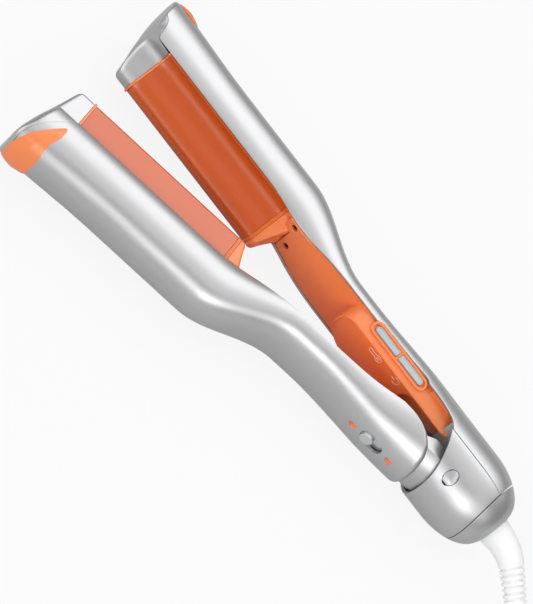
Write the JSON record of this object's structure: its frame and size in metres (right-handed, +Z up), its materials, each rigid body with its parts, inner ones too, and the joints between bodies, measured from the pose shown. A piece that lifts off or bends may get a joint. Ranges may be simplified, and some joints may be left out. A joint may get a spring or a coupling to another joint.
{
  "type": "hair waver",
  "caption": "Handheld hair waver lying open: a base arm and a hinged arm with wave shaped heated jaws, push buttons, lock slider and swivel cord.",
  "frame": {"origin": "on the surface that the waver lies on, under the middle of the waver without its cord", "axes": "+X from the cord exit to the tips along the base arm, +Z up and along the hinge pin, +Y towards the hinged arm"},
  "size_m": [0.5062, 0.1726, 0.0492],
  "materials": {
    "silver_casing": "moulded shell with pearl silver lacquer",
    "orange_shell": "moulded, satin",
    "dark_orange_trim": "moulded, satin",
    "coated_plate": "cast and milled, smooth orange ceramic coating",
    "grey_button": "moulded, satin",
    "white_cord": "moulded soft plastic, satin",
    "steel": "turned or drawn",
    "brass": "stamped or turned",
    "board": "printed circuit board",
    "black_plastic": "moulded",
    "heater_body": "extruded heater body",
    "heat_frame": "moulded heat resistant plastic"
  },
  "bodies": {
    "base_arm": {"base_root_block": "orange_shell", "base_root_band": "dark_orange_trim", "base_plate": "coated_plate", "base_tip_lip": "dark_orange_trim", "base_end_cap": "silver_casing", "base_tip_accent": "orange_shell", "base_heater": "heater_body", "base_thermal_fuse": "steel", "base_plate_carrier": "heat_frame", "base_panel_screw_1": "steel", "base_panel_screw_2": "steel", "base_shell": "silver_casing", "base_inner_panel": "orange_shell", "control_console": "orange_shell", "lock_keeper": "steel", "circuit_board": "board", "tail_front_cover": "silver_casing", "tail_cap": "silver_casing", "hinge_pin": "steel", "hinge_cap_near": "silver_casing", "hinge_cap_far": "silver_casing", "opening_spring": "steel", "button_bezel": "orange_shell", "temp_switch": "black_plastic", "power_switch": "black_plastic", "switch_board": "board"},
    "front_arm": {"front_root_block": "orange_shell", "front_root_band": "dark_orange_trim", "front_plate": "coated_plate", "front_tip_lip": "dark_orange_trim", "front_end_cap": "silver_casing", "front_tip_accent": "orange_shell", "front_heater": "heater_body", "front_thermal_fuse": "steel", "front_plate_carrier": "heat_frame", "front_panel_screw_1": "steel", "front_panel_screw_2": "steel", "front_shell": "silver_casing", "front_inner_panel": "orange_shell", "front_neck": "silver_casing", "hinge_bush_near": "brass", "hinge_bush_far": "brass"},
    "temp_key": {"temp_button": "grey_button"},
    "power_key": {"power_button": "grey_button"},
    "lock_key": {"lock_slider": "grey_button"},
    "cord_side": {"strain_relief": "white_cord", "swivel_collar": "black_plastic", "cord_lead": "white_cord", "cord_coil": "white_cord", "cord_end": "white_cord", "cord_tie": "black_plastic", "mains_plug": "white_cord", "plug_blade_left": "brass", "plug_blade_right": "brass"}
  },
  "joints": [
    {"name": "arm_hinge", "type": "hinge", "parent": "base_arm", "child": "front_arm", "pos_m": [-0.1204, -0.00991, 0.02459], "axis": [0, 0, 1], "range_deg": [-12, 0], "stiffness_Nm_per_rad": 1, "springref_deg": 8.59},
    {"name": "temp_button_press", "type": "slide", "parent": "base_arm", "child": "temp_key", "axis": [0, -0.3651, -0.931], "range_m": [0, 0.0006], "stiffness_N_per_m": 1500},
    {"name": "power_button_press", "type": "slide", "parent": "base_arm", "child": "power_key", "axis": [0, -0.3651, -0.931], "range_m": [0, 0.0006], "stiffness_N_per_m": 1500},
    {"name": "lock_slide", "type": "slide", "parent": "front_arm", "child": "lock_key", "axis": [-0.9781, -0.2079, 0], "range_m": [0, 0.006]},
    {"name": "cord_swivel", "type": "hinge", "parent": "base_arm", "child": "cord_side", "pos_m": [-0.15575, -0.02551, 0.02459], "axis": [1, 0, 0], "continuous": true}
  ]
}
